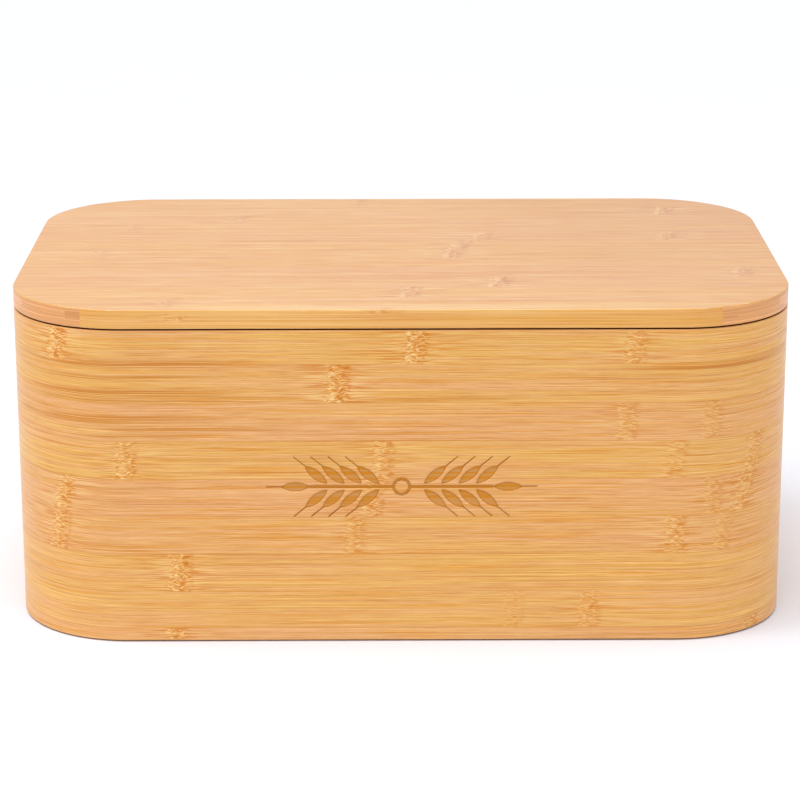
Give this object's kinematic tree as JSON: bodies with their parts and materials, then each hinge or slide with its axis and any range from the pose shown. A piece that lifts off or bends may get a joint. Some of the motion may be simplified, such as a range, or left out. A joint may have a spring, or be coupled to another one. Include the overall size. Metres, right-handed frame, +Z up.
{
  "type": "bread box",
  "caption": "Rounded rectangular bread box of bent bamboo ply with a flush lift-off lid board, an inner locating panel, a let-in base and small foot pads.",
  "frame": {"origin": "centre of the footprint, on the surface that the box stands on", "axes": "+X along the length to the right, -Y towards the front, +Z up"},
  "size_m": [0.32, 0.21, 0.1406],
  "materials": {
    "wall_bamboo": "satin lacquered bamboo, grain lying along the wall",
    "lid_bamboo": "satin lacquered bamboo, strips along the length",
    "inner_bamboo": "oiled bamboo, strips along the length",
    "pad_rubber": "matt anti-slip pad"
  },
  "bodies": {
    "box": {"front_wall": "wall_bamboo", "back_wall": "wall_bamboo", "left_joint_tongue": "inner_bamboo", "right_joint_tongue": "inner_bamboo", "base_panel": "inner_bamboo", "foot_pad_front_left": "pad_rubber", "foot_pad_front_right": "pad_rubber", "foot_pad_back_left": "pad_rubber", "foot_pad_back_right": "pad_rubber"},
    "lid": {"lid_board": "lid_bamboo", "lid_locating_panel": "lid_bamboo"}
  },
  "joints": [
    {"name": "lid_lift", "type": "slide", "parent": "box", "child": "lid", "axis": [0, 0, 1], "range_m": [0, 0.15]}
  ]
}
